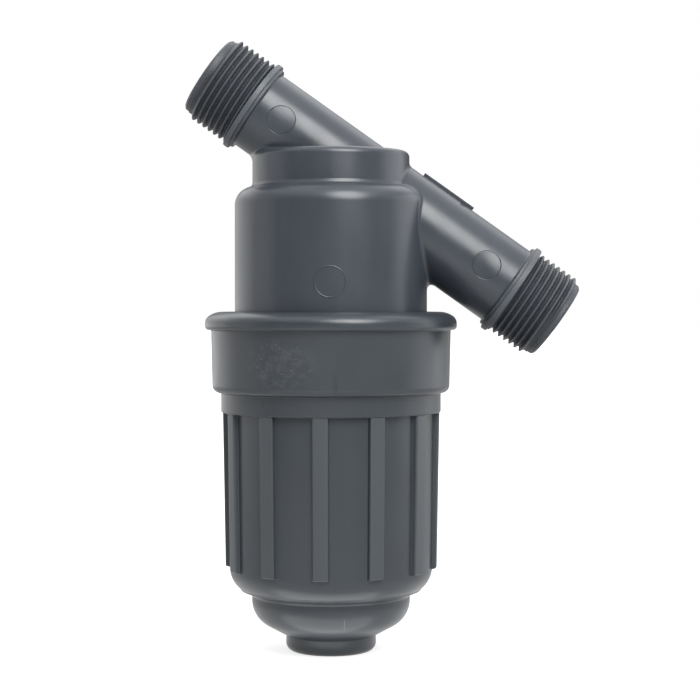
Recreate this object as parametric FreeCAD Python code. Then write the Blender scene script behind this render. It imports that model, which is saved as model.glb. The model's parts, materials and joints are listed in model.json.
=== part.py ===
"""Y-type screen filter: a sloping pipe with male threaded ends, a housing with a throat, and a ribbed bowl
that holds a screen.

Millimetres, +Z up along the bowl's axis, +X towards the outlet. The origin is the centre of the boss's end
face, at the foot of the bowl, and levels are worked out from there upwards. Diameters start from the pipe
thread, the screen and the body, and the bowl's follow from the skirt that it holds.
"""

import FreeCAD
import Part

import math
import os

# Threaded ends: outside diameter of the male pipe thread, its plain lead and the rings behind it
THREAD_OD = 26.44
THREAD_LENGTH = 15.0
LEAD_DEPTH = 1.37
LEAD_LENGTH = 1.8
LEAD_CHAMFER = 0.6
FLANGE_PROUD = 0.73
FLANGE_WIDTH = 1.6
STEP_RING_PROUD = 1.1
STEP_RING_WIDTH = 1.0

# Pipe: a little thinner than the root of its threads, it slopes down towards the outlet and crosses the
# bowl's axis inside the collar
PIPE_UNDERCUT = 1.27
PIPE_WALL = 2.45
PIPE_SLOPE_DEG = 35.3
INLET_REACH = 43.1
OUTLET_REACH = 79.2
PIPE_RISE = 7.1

# Flow arrow, raised on the top line of the pipe
ARROW_START = 24.0
ARROW_LENGTH = 17.2
ARROW_HEAD_LENGTH = 3.9
ARROW_HEAD_WIDTH = 6.2
ARROW_SHAFT_WIDTH = 2.6
ARROW_HEIGHT = 0.9

# Screen: a windowed cage in a mesh sleeve, with a ring at each end and a spigot at the top
SCREEN_OD = 36.0
MESH_THICKNESS = 0.4
MESH_CLEARANCE = 0.05
CAGE_WALL = 1.7
CAGE_TOP_RING = 5.0
CAGE_TOP_PROUD = 1.0
CAGE_FOOT_RING = 5.0
CAGE_FOOT_PROUD = 1.45
CAGE_FOOT_FLOOR = 2.0
SPIGOT_LENGTH = 6.0
SPIGOT_CLEARANCE = 0.2
SPIGOT_WALL = 1.6
FOOT_CLEARANCE = 0.3
SEAT_GAP = 0.2
GASKET_THICKNESS = 1.5
GASKET_CLEARANCE = 0.1
WINDOW_COLUMNS = 6
WINDOW_ROWS = 8
CAGE_BAR_WIDTH = 3.0
CAGE_HOOP_WIDTH = 1.6

# Housing above the bowl, and the throat inside it that leads the inlet into the screen
BODY_OD = 55.1
BODY_LENGTH = 36.0
BODY_WALL = 3.65
SHOULDER_RADIUS = 6.0
COLLAR_WALL = 3.5
COLLAR_LENGTH = 9.9
COLLAR_EDGE_RADIUS = 1.8
COLLAR_ROOF = 3.0
THROAT_WALL = 3.0
THROAT_LENGTH = 14.0
CHAMBER_ROOF = 3.0

# Skirt of the housing, inside the bowl: nose with the seal's groove, threaded stretch and stop ring
NOSE_PROUD = 0.5
NOSE_LENGTH = 5.9
SEAL_CORD = 2.4
SEAL_SIDE_GAP = 0.4
SKIRT_THREAD_DEPTH = 2.55
SKIRT_THREAD_LENGTH = 16.5
STOP_RING_PROUD = 0.7
STOP_RING_WIDTH = 3.8
STOP_RING_DEPTH = 1.2

# Bowl: heights of its stretches, counted from the boss up, and from the skirt that it holds
BOSS_HEIGHT = 6.2
STEP_HEIGHT = 11.2
DOME_HEIGHT = 6.6
RIB_HEIGHT = 44.9
NOSE_GAP = 1.2
BAND_DROP = 1.3
RIM_HEIGHT = 5.7

# Bowl: clearances round the skirt, walls outside them, and how far each stretch steps in from the one above
SEAL_BORE_CLEARANCE = 0.3
BOWL_THREAD_CLEARANCE = 0.4
RIM_CLEARANCE = 0.4
RIM_WALL = 4.4
BAND_WALL = 3.4
BAND_TAPER = 0.4
RING_WALL = 3.2
RIB_STEP = 0.35
RIB_TAPER = 0.75
RIB_DEPTH = 1.5
WALL_TAPER = 0.6
BOWL_WALL = 2.8
STEP_WALL = 3.0
BOSS_OD = 25.9
BOSS_WALL = 3.3
BOSS_FLOOR = 2.9
POCKET_FLOOR = 5.1

# Bowl: edges, slopes and ribs
BOSS_EDGE_RADIUS = 1.9
STEP_EDGE_RADIUS = 4.4
STEP_FACE_RISE = 4.0
DOME_EDGE_RADIUS = 6.0
DOME_FACE_RISE = 1.3
BAND_EDGE_RADIUS = 2.2
RIM_EDGE_RADIUS = 2.3
RIM_UNDER_RADIUS = 0.6
RIB_COUNT = 12
RIB_WIDTH = 4.7
RIB_PHASE_DEG = -95.0

# Small gaps and roundings shared by several pieces
RING_GAP = 0.05
SOFT_EDGE = 0.4
INNER_FILLET = 0.8

Z_AXIS = FreeCAD.Vector(0, 0, 1)
ORIGIN = FreeCAD.Vector(0, 0, 0)
PIPE_SLOPE = math.radians(PIPE_SLOPE_DEG)
PIPE_WAY = FreeCAD.Vector(math.cos(PIPE_SLOPE), 0, -math.sin(PIPE_SLOPE))

# Levels, from the boss up to the collar
Z_STEP = BOSS_HEIGHT
Z_DOME = Z_STEP + STEP_HEIGHT
Z_RIBS = Z_DOME + DOME_HEIGHT
Z_RING = Z_RIBS + RIB_HEIGHT
Z_NOSE = Z_RING + NOSE_GAP
Z_SEAL = Z_NOSE + NOSE_LENGTH / 2
Z_THREAD_FOOT = Z_NOSE + NOSE_LENGTH
Z_BAND = Z_THREAD_FOOT - BAND_DROP
Z_STOP_FOOT = Z_THREAD_FOOT + SKIRT_THREAD_LENGTH
Z_STOP_TOP = Z_STOP_FOOT + STOP_RING_WIDTH
Z_MOUTH = Z_STOP_TOP + STOP_RING_DEPTH
Z_RIM = Z_MOUTH - RIM_HEIGHT
Z_COLLAR = Z_MOUTH + BODY_LENGTH
Z_COLLAR_TOP = Z_COLLAR + COLLAR_LENGTH
Z_PIPE = Z_COLLAR + PIPE_RISE
Z_THROAT_END = Z_COLLAR - THROAT_LENGTH

# Levels of the screen, between the floor of its pocket and the end of the throat
Z_POCKET = Z_STEP + POCKET_FLOOR
Z_CAGE_FOOT = Z_POCKET + SEAT_GAP
Z_SHOULDER = Z_THROAT_END - SEAT_GAP - GASKET_THICKNESS

# Radii of the pipe and its ends
THREAD_RADIUS = THREAD_OD / 2
PIPE_RADIUS = THREAD_RADIUS - PIPE_UNDERCUT
BORE_RADIUS = PIPE_RADIUS - PIPE_WALL

# Radii of the screen, and of the throat and the pocket that hold it
MESH_RADIUS = SCREEN_OD / 2
MESH_INNER_RADIUS = MESH_RADIUS - MESH_THICKNESS
THROAT_OUTER_RADIUS = MESH_RADIUS + CAGE_TOP_PROUD
THROAT_RADIUS = THROAT_OUTER_RADIUS - THROAT_WALL
SPIGOT_RADIUS = THROAT_RADIUS - SPIGOT_CLEARANCE
CAGE_FOOT_RADIUS = MESH_RADIUS + CAGE_FOOT_PROUD
POCKET_RADIUS = CAGE_FOOT_RADIUS + FOOT_CLEARANCE

# Radii of the housing
BODY_RADIUS = BODY_OD / 2
CHAMBER_RADIUS = BODY_RADIUS - BODY_WALL
COLLAR_RADIUS = THROAT_OUTER_RADIUS + COLLAR_WALL
NOSE_RADIUS = BODY_RADIUS + NOSE_PROUD
SKIRT_THREAD_RADIUS = NOSE_RADIUS + SKIRT_THREAD_DEPTH
STOP_RING_RADIUS = SKIRT_THREAD_RADIUS + STOP_RING_PROUD

# Radii of the bowl, inside and then outside
SEAL_BORE_RADIUS = NOSE_RADIUS + SEAL_BORE_CLEARANCE
BOWL_THREAD_RADIUS = SKIRT_THREAD_RADIUS + BOWL_THREAD_CLEARANCE
RIM_BORE_RADIUS = STOP_RING_RADIUS + RIM_CLEARANCE
RIM_RADIUS = RIM_BORE_RADIUS + RIM_WALL
BAND_RADIUS = BOWL_THREAD_RADIUS + BAND_WALL
BAND_FOOT_RADIUS = BAND_RADIUS - BAND_TAPER
RING_RADIUS = SEAL_BORE_RADIUS + RING_WALL
RIB_TOP_RADIUS = RING_RADIUS - RIB_STEP
RIB_FOOT_RADIUS = RIB_TOP_RADIUS - RIB_TAPER
WALL_TOP_RADIUS = RIB_TOP_RADIUS - RIB_DEPTH
WALL_FOOT_RADIUS = WALL_TOP_RADIUS - WALL_TAPER
STEP_RADIUS = POCKET_RADIUS + STEP_WALL
BOSS_RADIUS = BOSS_OD / 2


def rounded_outline(corners):
    """A closed wire in the XZ plane through corners (radius, level, rounding), each rounded by an arc."""
    count = len(corners)
    points = [FreeCAD.Vector(x, 0, z) for x, z, _ in corners]
    starts, ends, middles = [], [], []
    for i, (_, _, rounding) in enumerate(corners):
        here, before, after = points[i], points[i - 1], points[(i + 1) % count]
        back, on = before - here, after - here
        room_back = back.Length * share(rounding, corners[i - 1][2])
        room_on = on.Length * share(rounding, corners[(i + 1) % count][2])
        back.normalize()
        on.normalize()
        half_turn = (math.pi - back.getAngle(on)) / 2
        reach = min(rounding * math.tan(half_turn), room_back, room_on)
        starts.append(here + back * reach)
        ends.append(here + on * reach)
        bisector = back + on
        if reach > 0 and bisector.Length > 1e-9:
            bisector.normalize()
            radius = reach / math.tan(half_turn)
            middles.append(here + bisector * (radius / math.cos(half_turn) - radius))
        else:
            middles.append(None)
    edges = []
    for i in range(count):
        if middles[i] is not None:
            edges.append(Part.Arc(starts[i], middles[i], ends[i]).toShape())
        following = starts[(i + 1) % count]
        if (following - ends[i]).Length > 1e-7:
            edges.append(Part.LineSegment(ends[i], following).toShape())
    return Part.Wire(edges)


def share(rounding, other):
    """How much of a side belongs to the corner with this rounding, when its other end has the other one."""
    return rounding / (rounding + other) if rounding else 0.0


def turned(corners):
    """The solid of revolution about Z of an outline."""
    return Part.Face(rounded_outline(corners)).revolve(ORIGIN, Z_AXIS, 360)


def cylinder(radius, low, high):
    """A cylinder about Z between two levels."""
    return Part.makeCylinder(radius, high - low, FreeCAD.Vector(0, 0, low), Z_AXIS)


def along_pipe(shape, towards_outlet=True):
    """Turns a shape built about Z so that Z runs along the pipe, from its crossing with the bowl's axis."""
    way = PIPE_WAY if towards_outlet else PIPE_WAY * -1
    placed = shape.copy()
    turn = FreeCAD.Rotation(Z_AXIS, way)
    placed.Placement = FreeCAD.Placement(FreeCAD.Vector(0, 0, Z_PIPE), turn)
    return placed


def pipe_distance(point):
    """How far a point lies from the pipe's axis."""
    return (point - FreeCAD.Vector(0, 0, Z_PIPE)).cross(PIPE_WAY).Length


def threaded_end(reach):
    """One end of the pipe along +Z: step ring, flange, threaded stretch and plain lead."""
    flange = reach - THREAD_LENGTH
    step_ring = flange - FLANGE_WIDTH - STEP_RING_WIDTH
    lead = THREAD_RADIUS - LEAD_DEPTH
    edge = THREAD_RADIUS + FLANGE_PROUD
    ring = PIPE_RADIUS + STEP_RING_PROUD
    return turned([
        (0, step_ring - STEP_RING_WIDTH, 0),
        (PIPE_RADIUS, step_ring - STEP_RING_WIDTH, 0),
        (PIPE_RADIUS, step_ring, 0),
        (ring, step_ring, SOFT_EDGE),
        (ring, flange - FLANGE_WIDTH, 0),
        (edge, flange - FLANGE_WIDTH, 0),
        (edge, flange, 0),
        (THREAD_RADIUS, flange, 0),
        (THREAD_RADIUS, reach - LEAD_LENGTH, 0),
        (lead, reach - LEAD_LENGTH, 0),
        (lead, reach - LEAD_CHAMFER, 0),
        (lead - LEAD_CHAMFER, reach, 0),
        (0, reach, 0),
    ])


def flow_arrow():
    """The arrow on the pipe's top line. Built about Z, where the pipe's top line is on the side of -X."""
    tip = ARROW_START + ARROW_LENGTH
    head = tip - ARROW_HEAD_LENGTH
    shaft, wing = ARROW_SHAFT_WIDTH / 2, ARROW_HEAD_WIDTH / 2
    half = [(shaft, ARROW_START), (shaft, head), (wing, head), (0, tip)]
    outline = half + [(-y, z) for y, z in reversed(half[:-1])]
    wire = Part.makePolygon([FreeCAD.Vector(0, y, z) for y, z in outline + outline[:1]])
    radius = PIPE_RADIUS + ARROW_HEIGHT
    plate = Part.Face(wire).extrude(FreeCAD.Vector(-radius - ARROW_HEIGHT, 0, 0))
    return plate.common(cylinder(radius, ARROW_START, tip))


def housing_outside():
    """The housing before it is hollowed: skirt, body and collar, then the pipe with a rounded junction."""
    groove = SEAL_BORE_RADIUS - SEAL_CORD - 2 * RING_GAP
    groove_foot = Z_SEAL - SEAL_CORD / 2 - SEAL_SIDE_GAP
    groove_top = Z_SEAL + SEAL_CORD / 2 + SEAL_SIDE_GAP
    body = turned([
        (0, Z_NOSE, 0),
        (NOSE_RADIUS, Z_NOSE, SOFT_EDGE),
        (NOSE_RADIUS, groove_foot, 0),
        (groove, groove_foot, 0),
        (groove, groove_top, 0),
        (NOSE_RADIUS, groove_top, 0),
        (NOSE_RADIUS, Z_THREAD_FOOT, 0),
        (SKIRT_THREAD_RADIUS, Z_THREAD_FOOT + SKIRT_THREAD_DEPTH, 0),
        (SKIRT_THREAD_RADIUS, Z_STOP_FOOT, 0),
        (STOP_RING_RADIUS, Z_STOP_FOOT, 0),
        (STOP_RING_RADIUS, Z_STOP_TOP, SOFT_EDGE),
        (BODY_RADIUS, Z_STOP_TOP, 0),
        (BODY_RADIUS, Z_COLLAR, SHOULDER_RADIUS),
        (0, Z_COLLAR, 0),
    ])
    collar = turned([
        (0, Z_COLLAR - COLLAR_EDGE_RADIUS, 0),
        (COLLAR_RADIUS, Z_COLLAR - COLLAR_EDGE_RADIUS, 0),
        (COLLAR_RADIUS, Z_COLLAR_TOP, COLLAR_EDGE_RADIUS),
        (0, Z_COLLAR_TOP, 0),
    ])
    upright = body.fuse(collar)
    foot = [edge for edge in upright.Edges if is_collar_foot(edge)]
    upright = upright.makeFillet(INNER_FILLET, foot)
    pipe = along_pipe(cylinder(PIPE_RADIUS, THREAD_LENGTH - INLET_REACH, OUTLET_REACH - THREAD_LENGTH))
    whole = upright.fuse(pipe)
    junction = [edge for edge in whole.Edges if is_junction(edge)]
    return whole.makeFillet(INNER_FILLET, junction)


def is_collar_foot(edge):
    """Whether an edge is the circle where the collar rises from the rounded shoulder."""
    box = edge.BoundBox
    wide = abs(box.XMax - COLLAR_RADIUS) < 0.01 and abs(box.YMax - COLLAR_RADIUS) < 0.01
    return wide and box.ZLength < 0.01 and box.ZMax < Z_COLLAR + 0.01


def is_junction(edge):
    """Whether an edge runs where the pipe's outside meets the collar or the body."""
    first, last = edge.ParameterRange
    samples = [edge.valueAt(first + (last - first) * i / 6) for i in range(7)]
    on_pipe = all(abs(pipe_distance(p) - PIPE_RADIUS) < 1e-3 for p in samples)
    near_body = all(math.hypot(p.x, p.y) < BODY_RADIUS + 0.1 for p in samples)
    straight = edge.Curve.TypeId == "Part::GeomLine"
    return on_pipe and near_body and not straight


def housing_hollows():
    """What is cut from the housing: inlet passage with throat, chamber round it, and outlet passage."""
    throat = cylinder(THROAT_RADIUS, Z_NOSE, Z_COLLAR_TOP - COLLAR_ROOF)
    inlet = along_pipe(cylinder(BORE_RADIUS, -INLET_REACH, 0))
    inlet_end = along_pipe(cylinder(BORE_RADIUS, 0, 2 * THROAT_RADIUS)).common(
        cylinder(THROAT_RADIUS, Z_THROAT_END, Z_PIPE + THROAT_RADIUS))
    throat_tube = cylinder(THROAT_OUTER_RADIUS, Z_THROAT_END, Z_PIPE + THROAT_RADIUS)
    roof = Z_COLLAR - CHAMBER_ROOF
    chamber = turned([
        (0, Z_NOSE, 0),
        (CHAMBER_RADIUS, Z_NOSE, 0),
        (CHAMBER_RADIUS, roof, SHOULDER_RADIUS - BODY_WALL),
        (0, roof, 0),
    ]).cut(throat_tube)
    outlet = along_pipe(cylinder(BORE_RADIUS, 0, OUTLET_REACH)).cut(throat_tube)
    return throat.fuse([inlet, inlet_end, chamber, outlet])


def make_housing():
    """The housing: one moulding with both threaded ends, the throat and the skirt for the bowl."""
    outside = housing_outside()
    outlet_end = along_pipe(threaded_end(OUTLET_REACH))
    inlet_end = along_pipe(threaded_end(INLET_REACH), towards_outlet=False)
    solid = outside.fuse([outlet_end, inlet_end, along_pipe(flow_arrow())])
    return solid.cut(housing_hollows())


def bowl_outside():
    """The bowl's outer form without its ribs, solid."""
    return turned([
        (0, 0, 0),
        (BOSS_RADIUS, 0, BOSS_EDGE_RADIUS),
        (BOSS_RADIUS, Z_STEP, SOFT_EDGE),
        (STEP_RADIUS, Z_STEP + STEP_FACE_RISE, STEP_EDGE_RADIUS),
        (STEP_RADIUS, Z_DOME, SOFT_EDGE),
        (WALL_FOOT_RADIUS, Z_DOME + DOME_FACE_RISE, DOME_EDGE_RADIUS),
        (WALL_TOP_RADIUS, Z_RING, 0),
        (RING_RADIUS, Z_RING, SOFT_EDGE),
        (RING_RADIUS, Z_BAND, 0),
        (BAND_FOOT_RADIUS, Z_BAND, BAND_EDGE_RADIUS),
        (BAND_RADIUS, Z_RIM, 0),
        (RIM_RADIUS, Z_RIM, RIM_UNDER_RADIUS),
        (RIM_RADIUS, Z_MOUTH, RIM_EDGE_RADIUS),
        (0, Z_MOUTH, 0),
    ])


def bowl_inside():
    """The bowl's hollow: boss and screen pockets, wide space, seal and thread bores, stop ring recess."""
    pocket_top = Z_DOME + DOME_FACE_RISE + BOWL_WALL
    foot = WALL_FOOT_RADIUS - BOWL_WALL
    top = WALL_TOP_RADIUS - BOWL_WALL
    lead_in = SEAL_BORE_RADIUS - top
    ledge = Z_THREAD_FOOT - SEAT_GAP
    return turned([
        (0, BOSS_FLOOR, 0),
        (BOSS_RADIUS - BOSS_WALL, BOSS_FLOOR, SOFT_EDGE),
        (BOSS_RADIUS - BOSS_WALL, Z_POCKET, SOFT_EDGE),
        (POCKET_RADIUS, Z_POCKET, SOFT_EDGE),
        (POCKET_RADIUS, pocket_top, SOFT_EDGE),
        (foot, pocket_top, DOME_EDGE_RADIUS - BOWL_WALL),
        (top, Z_NOSE - 2 * lead_in, 0),
        (SEAL_BORE_RADIUS, Z_NOSE - lead_in, 0),
        (SEAL_BORE_RADIUS, ledge, 0),
        (BOWL_THREAD_RADIUS, ledge + BOWL_THREAD_RADIUS - SEAL_BORE_RADIUS, 0),
        (BOWL_THREAD_RADIUS, Z_STOP_FOOT - SEAT_GAP, 0),
        (RIM_BORE_RADIUS, Z_STOP_FOOT - SEAT_GAP, 0),
        (RIM_BORE_RADIUS, Z_MOUTH, 0),
        (0, Z_MOUTH, 0),
    ])


def bowl_ribs():
    """The grip ribs: equal upright bars round the wall, each cut from one tapering ring."""
    root = WALL_FOOT_RADIUS - BOWL_WALL / 2
    ring = turned([
        (root, Z_RIBS, 0),
        (RIB_FOOT_RADIUS, Z_RIBS, SOFT_EDGE),
        (RIB_TOP_RADIUS, Z_RING + SOFT_EDGE, 0),
        (root, Z_RING + SOFT_EDGE, 0),
    ])
    slab = Part.makeBox(RIM_RADIUS, RIB_WIDTH, Z_MOUTH, FreeCAD.Vector(0, -RIB_WIDTH / 2, 0))
    rib = ring.common(slab)
    ribs = []
    for i in range(RIB_COUNT):
        ribs.append(rib.copy())
        ribs[-1].rotate(ORIGIN, Z_AXIS, RIB_PHASE_DEG + i * 360 / RIB_COUNT)
    return ribs


def make_bowl():
    """The bowl: one ribbed moulding that screws up over the housing's skirt and holds the screen."""
    return bowl_outside().fuse(bowl_ribs()).cut(bowl_inside())


def make_bowl_seal():
    """The O-ring in the groove of the housing's nose, just short of the bowl's seal bore."""
    radius = SEAL_BORE_RADIUS - RING_GAP - SEAL_CORD / 2
    return Part.makeTorus(radius, SEAL_CORD / 2, FreeCAD.Vector(0, 0, Z_SEAL), Z_AXIS)


def make_screen_cage():
    """The screen's cage: foot cup, windowed tube, top ring and the spigot that plugs into the throat."""
    tube = MESH_INNER_RADIUS - MESH_CLEARANCE
    inner = tube - CAGE_WALL
    mouth = SPIGOT_RADIUS - SPIGOT_WALL
    cage = turned([
        (0, Z_CAGE_FOOT, 0),
        (CAGE_FOOT_RADIUS, Z_CAGE_FOOT, SOFT_EDGE),
        (CAGE_FOOT_RADIUS, Z_CAGE_FOOT + CAGE_FOOT_RING, SOFT_EDGE),
        (tube, Z_CAGE_FOOT + CAGE_FOOT_RING, 0),
        (tube, Z_SHOULDER - CAGE_TOP_RING, 0),
        (THROAT_OUTER_RADIUS, Z_SHOULDER - CAGE_TOP_RING, SOFT_EDGE),
        (THROAT_OUTER_RADIUS, Z_SHOULDER, 0),
        (SPIGOT_RADIUS, Z_SHOULDER, 0),
        (SPIGOT_RADIUS, Z_SHOULDER + SPIGOT_LENGTH, SOFT_EDGE),
        (mouth, Z_SHOULDER + SPIGOT_LENGTH, 0),
        (mouth, Z_SHOULDER - CAGE_TOP_RING + inner - mouth, 0),
        (inner, Z_SHOULDER - CAGE_TOP_RING, 0),
        (inner, Z_CAGE_FOOT + CAGE_FOOT_FLOOR, SOFT_EDGE),
        (0, Z_CAGE_FOOT + CAGE_FOOT_FLOOR, 0),
    ])
    return cage.cut(cage_windows(tube, inner))


def cage_windows(tube, inner):
    """Bars that cut the windows: each runs out from the axis through the cage's wall."""
    low = Z_CAGE_FOOT + CAGE_FOOT_RING
    high = Z_SHOULDER - CAGE_TOP_RING
    middle = (tube + inner) / 2
    half_angle = math.pi / WINDOW_COLUMNS - CAGE_BAR_WIDTH / middle / 2
    width = 2 * middle * math.sin(half_angle)
    pitch = (high - low - CAGE_HOOP_WIDTH) / WINDOW_ROWS
    bars = []
    for row in range(WINDOW_ROWS):
        foot = low + CAGE_HOOP_WIDTH + row * pitch
        for column in range(WINDOW_COLUMNS):
            corner = FreeCAD.Vector(0, -width / 2, foot)
            bar = Part.makeBox(2 * tube, width, pitch - CAGE_HOOP_WIDTH, corner)
            bar.rotate(ORIGIN, Z_AXIS, (column + 0.5) * 360 / WINDOW_COLUMNS)
            bars.append(bar)
    return bars


def make_screen_mesh():
    """The woven wire sleeve round the cage, as one thin tube between the two rings."""
    low = Z_CAGE_FOOT + CAGE_FOOT_RING + MESH_CLEARANCE
    high = Z_SHOULDER - CAGE_TOP_RING - MESH_CLEARANCE
    return cylinder(MESH_RADIUS, low, high).cut(cylinder(MESH_INNER_RADIUS, low, high))


def make_screen_gasket():
    """The flat ring that lies on the cage's shoulder, under the end of the throat."""
    low, high = Z_SHOULDER, Z_SHOULDER + GASKET_THICKNESS
    hole = SPIGOT_RADIUS + GASKET_CLEARANCE
    return cylinder(THROAT_OUTER_RADIUS, low, high).cut(cylinder(hole, low, high))


MAKERS = {
    "housing": make_housing,
    "bowl": make_bowl,
    "bowl_seal": make_bowl_seal,
    "screen_cage": make_screen_cage,
    "screen_mesh": make_screen_mesh,
    "screen_gasket": make_screen_gasket,
}

os.makedirs("parts", exist_ok=True)
for name, maker in MAKERS.items():
    shape = maker()
    solids = shape.Solids
    if len(solids) != 1 or not solids[0].isValid():
        raise RuntimeError(f"{name} is {len(solids)} solids, valid: {[s.isValid() for s in solids]}")
    solids[0].exportStep(f"parts/{name}.step")
    box = solids[0].BoundBox
    print(f"{name}: {solids[0].Volume / 1000:.2f} cm3, {len(solids[0].Faces)} faces, "
          f"x {box.XMin:.1f} to {box.XMax:.1f}, z {box.ZMin:.1f} to {box.ZMax:.1f}")
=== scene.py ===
"""The finish of a Y-type screen filter: two dark grey mouldings with their threads, and what they hold."""

import json
import math

import bmesh
import bpy
import numpy as np
from mathutils import Matrix, Vector


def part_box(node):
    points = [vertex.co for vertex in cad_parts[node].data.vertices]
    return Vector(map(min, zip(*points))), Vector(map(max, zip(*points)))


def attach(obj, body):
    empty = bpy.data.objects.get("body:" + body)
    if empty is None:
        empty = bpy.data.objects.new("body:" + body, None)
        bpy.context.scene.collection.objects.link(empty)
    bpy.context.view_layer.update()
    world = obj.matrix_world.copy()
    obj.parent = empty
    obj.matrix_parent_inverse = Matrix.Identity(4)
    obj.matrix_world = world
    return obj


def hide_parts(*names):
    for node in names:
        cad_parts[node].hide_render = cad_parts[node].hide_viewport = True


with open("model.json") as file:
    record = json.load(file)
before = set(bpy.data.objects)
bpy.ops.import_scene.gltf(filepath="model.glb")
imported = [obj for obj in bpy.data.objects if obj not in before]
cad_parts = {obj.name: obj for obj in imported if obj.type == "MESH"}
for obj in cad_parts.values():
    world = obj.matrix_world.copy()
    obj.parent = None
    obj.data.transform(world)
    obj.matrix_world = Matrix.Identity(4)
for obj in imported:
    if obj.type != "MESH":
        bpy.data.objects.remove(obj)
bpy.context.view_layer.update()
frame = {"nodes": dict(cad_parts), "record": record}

# Housing: the upper moulding, one shot of dark grey polypropylene with its sloping pipe, both male pipe
# threads, the collar, the throat inside and the skirt that the bowl screws onto. Lengths are in millimetres
# until a mesh is made, and the sizes that the frame holds are read from it.
MM = 0.001
HOUSING_COLOUR = (0.034, 0.0403, 0.05, 1)
HOUSING_COLUMNS = 192
PIPE_COLUMNS = 108
FINE_STEP = 1.8

inlet_mount, outlet_mount = (
    next(mount for mount in frame["record"]["mounts"] if mount["name"] == name)
    for name in ("inlet_thread", "outlet_thread"))
PIPE_WAY = Vector(outlet_mount["axis"])
PIPE_UP = Vector((-PIPE_WAY.z, 0, PIPE_WAY.x))
CROSSING = outlet_mount["pos_m"][2] - outlet_mount["pos_m"][0] * PIPE_WAY.z / PIPE_WAY.x
PIPE_CENTRE = Vector((0, 0, CROSSING))

THREAD_CREST = outlet_mount["dims"]["r_mm"]
THREAD_DEPTH = 1.12
THREAD_PITCH = 1.83
THREAD_RUN = outlet_mount["dims"]["length_mm"]
LEAD_LENGTH = 1.8
LEAD_RADIUS = 11.85
LEAD_CHAMFER = 0.6
FLANGE_RADIUS = 13.95
FLANGE_WIDTH = 1.6
STEP_RING_RADIUS = 13.05
STEP_RING_WIDTH = 1.0
PIPE_RADIUS = 11.95
BORE_RADIUS = 9.5

MOUTH_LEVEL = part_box("bowl")[1].z / MM
NOSE_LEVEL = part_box("housing")[0].z / MM
BODY_RADIUS = 27.55
COLLAR_RADIUS = 22.5
COLLAR_FOOT = MOUTH_LEVEL + 36.0
COLLAR_TOP = COLLAR_FOOT + 9.9
SHOULDER = COLLAR_FOOT - 2.0
FLARE_FOOT = COLLAR_FOOT - 0.1
FLARE_TOP = COLLAR_FOOT + 0.8
FLARE_WIDTH = 0.3
THREAD_FOOT = NOSE_LEVEL + 5.9
STOP_FOOT = MOUTH_LEVEL - 5.0
STOP_TOP = MOUTH_LEVEL - 1.2
STOP_RADIUS = 31.3
NOSE_RADIUS = 28.05
GROOVE_RADIUS = 25.85
GROOVE_HALF_WIDTH = 1.6
GROOVE_LEVEL = NOSE_LEVEL + 2.95
SKIRT_ROOT = 28.35
SKIRT_THREAD_DEPTH = 2.25
SKIRT_PITCH = 4.0
THROAT_RADIUS = 16.0
THROAT_OUTER_RADIUS = 19.0
THROAT_END = COLLAR_FOOT - 14.0
THROAT_ROOF = COLLAR_TOP - 3.0
CHAMBER_RADIUS = 23.9
CHAMBER_ROOF = COLLAR_FOOT - 3.0
# How far a cutter runs past what it cuts
SPARE = 1.0


def reach_of(mount):
    """How far along the pipe, from its crossing with the bowl's axis, a threaded end's mouth lies."""
    along = (Vector(mount["pos_m"]) - PIPE_CENTRE).dot(PIPE_WAY) / MM
    return along + math.copysign(THREAD_RUN / 2 + LEAD_LENGTH, along)


INLET_MOUTH = reach_of(inlet_mount)
OUTLET_MOUTH = reach_of(outlet_mount)
INLET_FLANGE = INLET_MOUTH + LEAD_LENGTH + THREAD_RUN
OUTLET_FLANGE = OUTLET_MOUTH - LEAD_LENGTH - THREAD_RUN
SHORTEST_CHORD = 0.08


def rounded_profile(corners, bend_step=6.0):
    """Points (radius, level) through corners (radius, level, rounding), each rounding an arc in steps."""
    points = [corners[0][:2]]
    for before, here, after in zip(corners, corners[1:], corners[2:]):
        rounding = here[2]
        if rounding == 0:
            points.append(here[:2])
            continue
        corner = np.array(here[:2])
        back, on = np.array(before[:2]) - corner, np.array(after[:2]) - corner
        back, on = back / np.hypot(*back), on / np.hypot(*on)
        half = math.acos(np.clip(back @ on, -1, 1)) / 2
        start = corner + back * rounding / math.tan(half)
        middle = (back + on) / np.hypot(*(back + on))
        centre = corner + middle * rounding / math.sin(half)
        sweep = math.pi - 2 * half
        turn = math.copysign(sweep, back[1] * on[0] - back[0] * on[1])
        by_angle = math.ceil(math.degrees(sweep) / bend_step)
        by_length = math.ceil(rounding * sweep / SHORTEST_CHORD)
        x, z = start - centre
        for angle in np.linspace(0, turn, max(2, min(by_angle, by_length)) + 1):
            cos, sin = math.cos(angle), math.sin(angle)
            points.append((centre[0] + cos * x - sin * z, centre[1] + sin * x + cos * z))
    points.append(corners[-1][:2])
    return np.array(points)


def with_steps(profile, longest, low, high):
    """The same profile, with its straight runs between two levels cut into steps up to the longest."""
    points = [profile[0]]
    for start, end in zip(profile, profile[1:]):
        inside = low <= (start[1] + end[1]) / 2 <= high
        pieces = math.ceil(np.hypot(*(end - start)) / longest) if inside else 1
        points.extend(start + (end - start) * k / pieces for k in range(1, pieces + 1))
    return np.array(points)


def link(name, mesh):
    """A new object for a mesh, in the scene."""
    made = bpy.data.objects.new(name, mesh)
    bpy.context.scene.collection.objects.link(made)
    return made


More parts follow.
